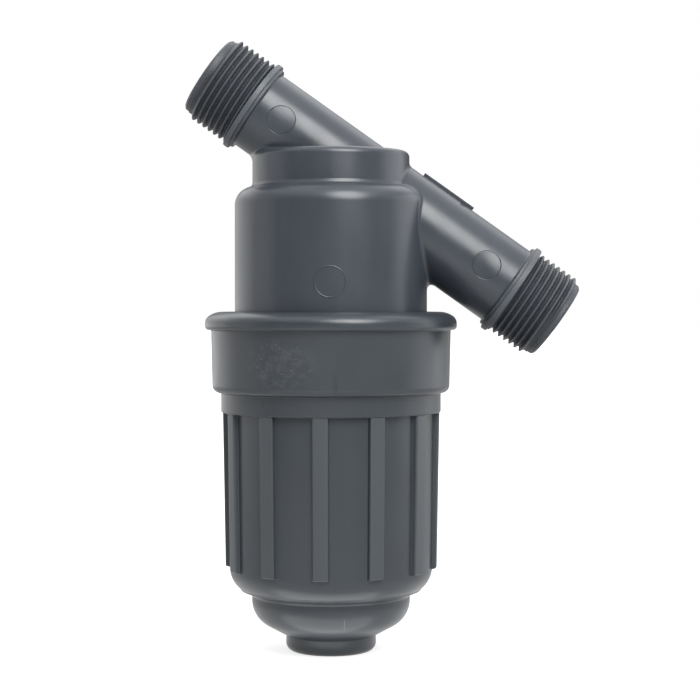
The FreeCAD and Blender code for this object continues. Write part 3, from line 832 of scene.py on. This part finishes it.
def rubber_skin_group():
    """The skin of moulded rubber: a grey bloom in soft patches, and a fine matt grain."""
    group, given, result = new_tree(
        "rubber_skin", "Shader", {"Vector": "Vector", "Colour": "Color", "Bloom": "Float", "Gloss": "Float"},
        {"Colour": "Color", "Roughness": "Float", "Height": "Float"})
    calc = calculator(group)
    patches = noise(group, given["Vector"], 160.0, 3.0, 0.6)
    grain = noise(group, given["Vector"], 6000.0, 2.0, 0.5)
    bloom = ramp(group, patches, 0.45, 0.75, 0.0, given["Bloom"])
    feed(group, result, {"Colour": tinted(group, given["Colour"], bloom, BLOOM_COLOUR),
                         "Roughness": calc("MULTIPLY_ADD", bloom, 0.5, given["Gloss"]),
                         "Height": calc("ADD", grain, patches)})
    return group


rubber_skin = rubber_skin_group()


def rubber_material(name, colour, bloom, gloss):
    """Black rubber with its own share of bloom and of gloss."""
    material, tree, shader, place = blank_material(name)
    skin = place_group(tree, rubber_skin, Vector=place, Colour=colour, Bloom=bloom, Gloss=gloss)
    cover(tree, shader, skin["Colour"], skin["Roughness"], skin["Height"], *RUBBER_BUMP)
    return material


def dress(node, material):
    """Gives a part of the frame, whose shape is right as it is, its finished material."""
    for place in frame["nodes"][node].material_slots:
        place.material = material


dress("bowl_seal", rubber_material("greased_rubber", SEAL_COLOUR, 0.15, 0.3))

# Screen cage: the tube that holds the mesh open, one moulding of black polypropylene with windows between
# its bars. It stands in the bowl's pocket and plugs into the throat.
CAGE_COLOUR = (0.018, 0.019, 0.021, 1)
CAGE_BUMP = (0.35, 0.00015)


def cage_material():
    """Black polypropylene, duller than the outer mouldings, with flow marks between its windows."""
    material, tree, shader, place = blank_material("cage_polypropylene")
    skin = place_group(tree, moulded_skin, Vector=place, Colour=CAGE_COLOUR, Clouds=0.5, Gloss=0.42,
                       Grain=0.5)
    cover(tree, shader, skin["Colour"], skin["Roughness"], skin["Height"], *CAGE_BUMP)
    return material


dress("screen_cage", cage_material())

# Screen mesh: a sleeve of plain woven stainless steel wire, rolled round the cage and welded along its seam.
# The holes let water through and stop anything above a tenth of a millimetre.
WIRE_COLOUR = (0.46, 0.46, 0.45, 1)
HOLE_COLOUR = (0.012, 0.012, 0.012, 1)
WIRE_PITCH = 0.22
WIRE_BUMP = (0.6, 0.00006)


def woven_wire_material():
    """Wires that pass over and under each other round the sleeve, with dark holes between them."""
    material, tree, shader, place = blank_material("woven_wire")
    calc = calculator(tree)
    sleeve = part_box("screen_mesh")[1].x / MM
    parts = split_xyz(tree, place)
    turns = round(2 * math.pi * sleeve / WIRE_PITCH) / (2 * math.pi)
    around = calc("MULTIPLY", calc("ARCTAN2", parts[1], parts[0]), turns)
    along = calc("MULTIPLY", parts[2], 1 / (WIRE_PITCH * MM))

    def wire(across, length):
        """How high a set of wires stands: round in section, and waving over and under the other set."""
        section = calc("SINE", calc("MULTIPLY", calc("FRACT", across), math.pi))
        parity = calc("ADD", length, calc("FLOOR", across))
        wave = calc("MULTIPLY_ADD", calc("SINE", calc("MULTIPLY", parity, math.pi)), 0.35, 0.65)
        return calc("MULTIPLY", calc("MULTIPLY_ADD", section, 1.6, -0.6), wave)

    height = calc("MAXIMUM", wire(around, along), wire(along, calc("ADD", around, 1.0)))
    solid = ramp(tree, height, 0.0, 0.25, 0.0, 1.0)
    stain = ramp(tree, noise(tree, place, 240.0, 3.0, 0.6), 0.3, 0.7, 0.26, 0.48)
    feed(tree, shader, {"Metallic": solid})
    cover(tree, shader, tinted(tree, HOLE_COLOUR, solid, WIRE_COLOUR), stain, height, *WIRE_BUMP)
    return material


dress("screen_mesh", woven_wire_material())

# Screen gasket: a flat ring of softer rubber, cut from sheet and pressed between the cage's shoulder and the
# end of the throat.
GASKET_COLOUR = (0.02, 0.02, 0.021, 1)
dress("screen_gasket", rubber_material("gasket_rubber", GASKET_COLOUR, 0.4, 0.55))

# Bowl: the lower moulding, of the same plastic, a cup with a boss, a step and a dome at its foot, twelve grip
# ribs round its wall, and a banded rim whose inner thread screws up over the housing's skirt.
RIB_COUNT = 12
RIB_PHASE = -95.0
RIB_HALF_WIDTH = 2.35
RIB_FOOT = 24.0
RIB_FOOT_RADIUS = 30.45
RIB_TOP_RADIUS = 31.2
RING_FOOT = 68.75
RING_RADIUS = 31.55
WALL_FOOT_RADIUS = 29.1
WALL_TOP_RADIUS = 29.7
BAND_FOOT = 74.35
BAND_FOOT_RADIUS = 34.0
BAND_TOP_RADIUS = 34.4
RIM_FOOT = MOUTH_LEVEL - 5.15
RIM_RADIUS = 36.1
BOSS_RADIUS = 12.95
STEP_FOOT = 4.6
STEP_RADIUS = 22.75
STEP_SHOULDER = STEP_FOOT + 5.35
DOME_FOOT = 16.4
LIP_FOOT = 17.75
LIP_TOP = LIP_FOOT + 0.55
LIP_RADIUS = 26.0
LIP_FLARE = 0.3
DOME_SHOULDER = LIP_FOOT + 2.85
RIM_SHOULDER = MOUTH_LEVEL - 1.9
MOUTH_RADIUS = RIM_RADIUS - 2.9

bowl_corners = [
    (0, 0, 0),
    (BOSS_RADIUS, 0, 2.4),
    (BOSS_RADIUS, STEP_FOOT, 0.4),
    (STEP_RADIUS, STEP_SHOULDER, 8.0),
    (STEP_RADIUS, DOME_FOOT, 0.9),
    (LIP_RADIUS, LIP_FOOT, 0.1),
    (LIP_RADIUS + LIP_FLARE, LIP_TOP, 0.1),
    (WALL_FOOT_RADIUS, DOME_SHOULDER, 7.6),
    (WALL_TOP_RADIUS, RING_FOOT, 0),
    (RING_RADIUS, RING_FOOT, 0.4),
    (RING_RADIUS, BAND_FOOT, 0.3),
    (BAND_FOOT_RADIUS, BAND_FOOT, 2.2),
    (BAND_TOP_RADIUS, RIM_FOOT, 0.3),
    (RIM_RADIUS, RIM_FOOT, 1.1),
    (RIM_RADIUS, RIM_SHOULDER, 2.6),
    (MOUTH_RADIUS, MOUTH_LEVEL, 6.5),
    (0, MOUTH_LEVEL, 0),
]
# A rib stands out by this share of its full height at this distance inside its edge
RIB_EDGE = np.array([(-0.35, 0.0), (-0.15, 0.05), (-0.03, 0.2), (0.03, 0.6), (0.13, 0.82), (0.27, 0.95),
                     (0.48, 1.0)])
RIB_CREST_COLUMN = 1.1
WALL_COLUMNS = (3.4, 4.6, 6.2)
WALL_ROW_STEP = 4.0


def rib_height(inside):
    """The share of a rib's height that is left this far inside its edge."""
    return np.interp(inside, RIB_EDGE[:, 0], RIB_EDGE[:, 1])


def bowl_sector():
    """One twelfth of the bowl's outside, with a rib in its middle, from the boss up to the mouth's middle."""
    profile = rounded_profile(bowl_corners, bend_step=7.0)
    levels = RIB_FOOT + np.concatenate([RIB_EDGE[:, 0], np.arange(3, RING_FOOT - RIB_FOOT, WALL_ROW_STEP)])
    extra = np.stack([np.interp(levels, profile[:, 1], profile[:, 0]), levels], 1)
    profile = np.insert(profile, np.searchsorted(profile[:, 1], levels), extra, axis=0)
    edge = RIB_HALF_WIDTH - RIB_EDGE[:, 0]
    half = np.concatenate([[0, RIB_CREST_COLUMN], np.sort(edge), WALL_COLUMNS]) / RIB_TOP_RADIUS
    half = np.append(half, math.pi / RIB_COUNT)
    angles = np.concatenate([-half[:0:-1], half])
    crest = np.interp(profile[:, 1], [RIB_FOOT, RING_FOOT], [RIB_FOOT_RADIUS, RIB_TOP_RADIUS])
    share = np.minimum(rib_height(RIB_HALF_WIDTH - np.abs(angles) * RIB_TOP_RADIUS),
                       rib_height(profile[:, 1] - RIB_FOOT)[:, None])
    on_wall = (profile[:, 1] > RIB_FOOT - 0.5) & (profile[:, 1] <= RING_FOOT + 0.01)
    share = share * on_wall[:, None]
    radius = np.maximum(profile[:, :1], profile[:, :1] + share * (crest[:, None] - profile[:, :1]))
    points = np.stack([radius * np.cos(angles), radius * np.sin(angles),
                       np.broadcast_to(profile[:, 1:], radius.shape)], 2)
    columns = len(angles)
    faces = [(row * columns + k, row * columns + k + 1, (row + 1) * columns + k + 1, (row + 1) * columns + k)
             for row in range(len(profile) - 1) for k in range(columns - 1)]
    mesh = bpy.data.meshes.new("bowl_sector")
    mesh.from_pydata((points.reshape(-1, 3) * MM).tolist(), [], faces)
    mesh.validate()
    return link("bowl_moulding", mesh)


def turn_round_tree():
    """Sets a sector round the Z axis as often as it fits, and welds the copies into one skin."""
    tree, given, result = new_tree(
        "turn_round", "Geometry",
        {"Geometry": "Geometry", "Count": "Int", "Phase": "Float", "Material": "Material"},
        {"Geometry": "Geometry"})
    calc = calculator(tree)
    places = add_node(tree, "GeometryNodeMeshLine", given["Count"], None, (0, 0, 0), (0, 0, 0))
    step = calc("DIVIDE", 2 * math.pi, given["Count"])
    angle = calc("ADD", calc("MULTIPLY", add_node(tree, "GeometryNodeInputIndex"), step), given["Phase"])
    turn = add_node(tree, "FunctionNodeEulerToRotation", add_node(tree, "ShaderNodeCombineXYZ", 0, 0, angle))
    copies = add_node(tree, "GeometryNodeInstanceOnPoints", places, None, given["Geometry"], None, None, turn)
    real = add_node(tree, "GeometryNodeRealizeInstances", copies)
    welded = add_node(tree, "GeometryNodeMergeByDistance", real, None, WELD)
    feed(tree, result, [add_node(tree, "GeometryNodeSetMaterial", welded, None, given["Material"])])
    return tree


def scuff_group():
    """Light marks of handling: short scratches that run one way, kept to a patch, as a mask."""
    group, given, result = new_tree(
        "scuffs", "Shader", {"Vector": "Vector", "Centre": "Vector", "Reach": "Float", "Stretch": "Vector"},
        {"Mask": "Float"})
    away = vector_math(group, "DISTANCE", given["Vector"], given["Centre"])
    patch = ramp(group, away, given["Reach"], 0.0, 0.0, 1.0)
    stretched = vector_math(group, "MULTIPLY", given["Vector"], given["Stretch"])
    flecks = ramp(group, noise(group, stretched, 1.0, 2.0, 0.6), 0.64, 0.74, 0.0, 1.0)
    feed(group, result, [calculator(group)("MULTIPLY", flecks, patch)])
    return group


scuffs = scuff_group()


def mark_group():
    """A soft patch round a centre, with its own reach along each axis, as a mask."""
    group, given, result = new_tree(
        "mark", "Shader", {"Vector": "Vector", "Centre": "Vector", "Reach": "Vector"}, {"Mask": "Float"})
    away = vector_math(group, "SUBTRACT", given["Vector"], given["Centre"])
    share = vector_math(group, "LENGTH", vector_math(group, "DIVIDE", away, given["Reach"]))
    feed(group, result, [ramp(group, share, 0.5, 1.0, 1.0, 0.0, "SMOOTHSTEP")])
    return group


mark = mark_group()
BOWL_COLOUR = (0.030, 0.0365, 0.0435, 1)
SCUFF_COLOUR = (0.1, 0.108, 0.115, 1)
SMEAR_COLOUR = (0.06, 0.066, 0.07, 1)
RIB_COLOUR = (0.055, 0.063, 0.07, 1)
# Painted shade for a thin upright weld groove in the middle of the band
WELD_GROOVE_SHADE_COLOUR = (0.02, 0.025, 0.03, 1)

# Where each mark lies and how far it reaches, in metres from the foot of the bowl
SCUFF_PLACE, SCUFF_REACH, SCUFF_STRETCH = (-0.012, -0.032, 0.083), 0.017, (850.0, 850.0, 2000.0)
SMEAR_PLACE, SMEAR_REACH = (-0.014, -0.031, 0.083), (0.014, 0.01, 0.009)
WELD_GROOVE_SHADE_PLACE, WELD_GROOVE_SHADE_REACH = (0.0015, -0.034, 0.0775), (0.0009, 0.01, 0.004)
SCRATCH_PLACE, SCRATCH_REACH = (0.0039, -0.021, 0.0107), (0.00016, 0.01, 0.0023)
RIB_PROUD = (0.8, 1.2)


def bowl_material():
    """The same satin plastic as the housing. The ribs are rubbed lighter and duller, the band has fine scuffs
    where hands and pliers grip it, a short weld groove in its middle drawn as painted shade, and a scratch
    crosses the step."""
    material, tree, shader, place = blank_material("bowl_polypropylene")
    calc = calculator(tree)
    skin = place_group(tree, moulded_skin, Vector=place, Colour=BOWL_COLOUR, Clouds=0.34, Gloss=0.32,
                       Grain=0.2)
    upright = place_group(tree, round_axis, Vector=place, Centre=(0, 0, 0), Way=(0, 0, 1))
    level = upright["Along"]
    wall = ramp(tree, level, RIB_FOOT * MM, RING_FOOT * MM, WALL_FOOT_RADIUS * MM, WALL_TOP_RADIUS * MM)
    above_wall = calc("DIVIDE", calc("SUBTRACT", upright["Radius"], wall), MM)
    proud = ramp(tree, above_wall, *RIB_PROUD, 0.0, 1.0)
    below_ring = calc("LESS_THAN", level, RING_FOOT * MM)
    above_dome = calc("GREATER_THAN", level, (RIB_FOOT - 0.2) * MM)
    rubbed = calc("MULTIPLY", calc("MULTIPLY", proud, below_ring), above_dome)
    flecks = place_group(tree, scuffs, Vector=place, Centre=SCUFF_PLACE, Reach=SCUFF_REACH,
                         Stretch=SCUFF_STRETCH)["Mask"]

    def marked(centre, reach):
        return place_group(tree, mark, Vector=place, Centre=centre, Reach=reach)["Mask"]

    # Painted shade: a short dark upright line where the weld groove is
    weld_groove_shade = marked(WELD_GROOVE_SHADE_PLACE, WELD_GROOVE_SHADE_REACH)
    scratch = marked(SCRATCH_PLACE, SCRATCH_REACH)
    clouds = ramp(tree, noise(tree, place, 420.0, 4.0, 0.65), 0.45, 0.7, 0.0, 0.8)
    smear = calc("MULTIPLY", marked(SMEAR_PLACE, SMEAR_REACH), clouds)
    colour = tinted(tree, skin["Colour"], calc("MULTIPLY", rubbed, 0.7), RIB_COLOUR)
    colour = tinted(tree, colour, smear, SMEAR_COLOUR)
    colour = tinted(tree, colour, calc("MULTIPLY", weld_groove_shade, 0.6), WELD_GROOVE_SHADE_COLOUR)
    colour = tinted(tree, colour, calc("MAXIMUM", flecks, scratch), SCUFF_COLOUR)
    roughness = calc("MULTIPLY_ADD", calc("MAXIMUM", flecks, smear), 0.2, skin["Roughness"])
    roughness = calc("MULTIPLY_ADD", rubbed, 0.12, roughness)
    cover(tree, shader, colour, roughness, skin["Height"], *SKIN_BUMP)
    return material


bowl_polypropylene = bowl_material()
bowl = grow(bowl_sector(), turn_round_tree(),
            {"Count": RIB_COUNT, "Phase": math.radians(RIB_PHASE), "Material": bowl_polypropylene})

POCKET_RADIUS = 9.65
POCKET_FLOOR = 2.9
STEP_BORE_RADIUS = 19.75
STEP_FLOOR = 11.3
CUP_FLOOR = 21.5
CUP_FOOT_RADIUS = 26.3
CUP_TOP_RADIUS = 26.9
CUP_TOP = 67.2
SEAL_BORE_RADIUS = 28.35
LEDGE = THREAD_FOOT - 0.2
LEDGE_RADIUS = 28.9
MOUTH_BORE_RADIUS = 31.7
MOUTH_BORE_FOOT = STOP_FOOT - 0.2
NUT_FOOT = LEDGE + 2.65
NUT_ROOT_RADIUS = 31.0
NUT_CREST_RADIUS = 29.0
bowl_hollow = turned("bowl_hollow", rounded_profile([
    (0, POCKET_FLOOR, 0),
    (POCKET_RADIUS, POCKET_FLOOR, 0.4),
    (POCKET_RADIUS, STEP_FLOOR, 0.4),
    (STEP_BORE_RADIUS, STEP_FLOOR, 0.4),
    (STEP_BORE_RADIUS, CUP_FLOOR, 0.4),
    (CUP_FOOT_RADIUS, CUP_FLOOR, 3.2),
    (CUP_TOP_RADIUS, CUP_TOP, 0),
    (SEAL_BORE_RADIUS, CUP_TOP + SEAL_BORE_RADIUS - CUP_TOP_RADIUS, 0),
    (SEAL_BORE_RADIUS, LEDGE, 0),
    (LEDGE_RADIUS, LEDGE + LEDGE_RADIUS - SEAL_BORE_RADIUS, 0),
    (LEDGE_RADIUS, MOUTH_BORE_FOOT, 0),
    (MOUTH_BORE_RADIUS, MOUTH_BORE_FOOT, 0.2),
    (MOUTH_BORE_RADIUS, MOUTH_LEVEL + SPARE, 0),
    (0, MOUTH_LEVEL + SPARE, 0),
]), HOUSING_COLUMNS)
combine(bowl_hollow, "UNION", threaded_rod(
    "bowl_thread", bowl_polypropylene, HOUSING_COLUMNS, NUT_FOOT, STOP_FOOT, SKIRT_PITCH, NUT_ROOT_RADIUS,
    NUT_CREST_RADIUS - NUT_ROOT_RADIUS, THREAD_FOOT + SKIRT_PITCH, first=0.2, last=3.4))
combine(bowl, "DIFFERENCE", bowl_hollow)
finish_skin(bowl, bowl_polypropylene)
rim_profile = rounded_profile(bowl_corners, bend_step=3.0)
rim_profile = rim_profile[rim_profile[:, 1] >= RING_FOOT]
true_normals(bowl.data, RING_FOOT + 0.02, lambda points: (*from_turned(points, rim_profile), False))
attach(bowl, "bowl")
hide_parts("bowl")

# Floor and backdrop: a wide sheet of white paper under the filter. It fades into the white room behind it, so
# that only the soft shadow at the foot stays to be seen.
PAPER_COLOUR = (0.4, 0.4, 0.4, 1)
PAPER_HALF_WIDTH = 6.0
PAPER_LIFT = 0.75
PAPER_NEAR = 0.12
PAPER_FAR = 0.6
ROOM_LIGHT = 0.12
BACK_LIGHT = 1.2
TOP_LIGHT = 1.3
NEAR_SHINE = 0.7
FAR_SHINE = 0.17
SHINE_NEAR = 0.05
SHINE_FAR = 0.1


def studio_floor():
    """A wide flat floor: plain paper to the lamps, lifted to white for the camera, with a shine of its own in
    reflections. The filter stands on its bowl, so the floor stays under the foot of an unscrewed bowl."""
    work = bmesh.new()
    bmesh.ops.create_grid(work, x_segments=1, y_segments=1, size=PAPER_HALF_WIDTH)
    mesh = bpy.data.meshes.new("floor")
    work.to_mesh(mesh)
    work.free()
    floor = link("floor", mesh)
    material, tree, shader, place = blank_material("white_paper")
    calc = calculator(tree)
    away = vector_math(tree, "LENGTH", place)
    path = tree.nodes.new("ShaderNodeLightPath").outputs
    shown = calc("MULTIPLY", path["Is Camera Ray"], ramp(tree, away, PAPER_NEAR, PAPER_FAR, PAPER_LIFT, 1.0))
    shine = ramp(tree, away, SHINE_NEAR, SHINE_FAR, NEAR_SHINE, FAR_SHINE)
    mirrored = calc("MULTIPLY", path["Is Glossy Ray"], shine)
    glow = calc("MAXIMUM", shown, mirrored)
    feed(tree, shader, {"Base Color": PAPER_COLOUR, "Roughness": 1.0, "Specular IOR Level": 0.0,
                        "Emission Color": (1, 1, 1, 1), "Emission Strength": glow})
    floor.data.materials.append(material)
    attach(floor, "bowl")
    return floor


def studio_room():
    """A room that is bright above the filter and up behind it, dim elsewhere, and white to the camera."""
    world = bpy.data.worlds.new("room")
    bpy.context.scene.world = world
    world.use_nodes = True
    tree = world.node_tree
    calc = calculator(tree)
    path = tree.nodes.new("ShaderNodeLightPath").outputs
    seen = calc("MAXIMUM", path["Is Camera Ray"], path["Is Transmission Ray"])
    way = split_xyz(tree, tree.nodes.new("ShaderNodeTexCoord").outputs["Generated"])
    behind = calc("MULTIPLY", ramp(tree, way["Y"], 0.2, 0.6, 0.0, BACK_LIGHT, "SMOOTHSTEP"),
                  ramp(tree, way["Z"], 0.2, 0.6, 0.0, 1.0, "SMOOTHSTEP"))
    above = calc("ADD", ramp(tree, way["Z"], 0.3, 0.9, 0.0, TOP_LIGHT, "SMOOTHSTEP"), ROOM_LIGHT)
    strength = ramp(tree, seen, 0.0, 1.0, calc("ADD", behind, above), 1.0)
    feed(tree, tree.nodes["Background"], {"Color": (1, 1, 1, 1), "Strength": strength})


floor = studio_floor()
studio_room()

# Lamps: a round softbox above the camera's right shoulder, wide panels at both sides and at the left back, a
# spot on the paper in front, and a small light card that lies at the foot and lights the filter's undersides.
MIDDLE = Vector((0, 0, 0.12))


def seen_from_middle(bearing, rise, distance):
    """A place this far from the filter's middle, at a bearing from the front towards the right and a rise."""
    bearing, rise = math.radians(bearing), math.radians(rise)
    flat = math.cos(rise)
    return MIDDLE + distance * Vector((math.sin(bearing) * flat, -math.cos(bearing) * flat, math.sin(rise)))


def lamp(name, kind, place, aim, power):
    """A lamp that faces a point and that the camera doesn't see."""
    light = bpy.data.lights.new(name, kind)
    light.energy = power
    holder = bpy.data.objects.new(name, light)
    holder.location = place
    holder.rotation_euler = (Vector(aim) - Vector(place)).to_track_quat("-Z", "Y").to_euler()
    holder.visible_camera = False
    bpy.context.scene.collection.objects.link(holder)
    return holder


def softbox(name, shape, place, aim, width, height, brightness):
    """A soft lamp of an even brightness, where 1 is the white of the room."""
    area = width * height * (math.pi / 4 if shape == "ELLIPSE" else 1)
    holder = lamp(name, "AREA", place, aim, brightness * math.pi * area)
    holder.data.shape = shape
    holder.data.size, holder.data.size_y = width, height
    return holder


for name, shape, bearing, rise, distance, width, height, brightness in (
        ("key_softbox", "ELLIPSE", 22.5, 36, 0.5, 0.31, 0.42, 10.6),
        ("right_panel", "RECTANGLE", 107, 8, 0.8, 0.75, 0.6, 1.8),
        ("left_panel", "RECTANGLE", -85, 8, 0.8, 0.42, 0.6, 0.85),
        ("left_back_panel", "RECTANGLE", -132, 8, 0.8, 0.85, 0.6, 1.25)):
    softbox(name, shape, seen_from_middle(bearing, rise, distance), MIDDLE, width, height, brightness)
CARD_PLACE = (-0.004, -0.025, 0.002)
CARD_AIM = (-0.004, -0.025, 1.0)
foot_card = softbox("foot_card", "ELLIPSE", CARD_PLACE, CARD_AIM, width=0.06, height=0.018, brightness=1.5)
foot_card.parent = floor
SPOT_PLACE = (-0.1, -0.4, 1.2)
SPOT_AIM = (-0.1, -0.28, 0)
SPOT_POWER = 80.0
SPOT_ANGLE = math.radians(22)
SPOT_RADIUS = 0.05
paper_spot = lamp("paper_spot", "SPOT", SPOT_PLACE, SPOT_AIM, SPOT_POWER).data
paper_spot.spot_size = SPOT_ANGLE
paper_spot.spot_blend = 1.0
paper_spot.shadow_soft_size = SPOT_RADIUS

# Camera: level with the middle of the filter, half a metre in front of it and tilted down a little, with a
# long lens.
CAMERA_PLACE = (0.00546, -0.5417, 0.1003)
CAMERA_TILT = math.radians(1.46)
LENS_MM = 96.9
SENSOR_MM = 36.0
camera = bpy.data.objects.new("camera", bpy.data.cameras.new("camera"))
camera.data.lens = LENS_MM
camera.data.sensor_width = SENSOR_MM
camera.location = CAMERA_PLACE
camera.rotation_euler = (math.radians(90) - CAMERA_TILT, 0, 0)
bpy.context.scene.collection.objects.link(camera)
bpy.context.scene.camera = camera
bpy.context.scene.view_settings.view_transform = "Standard"
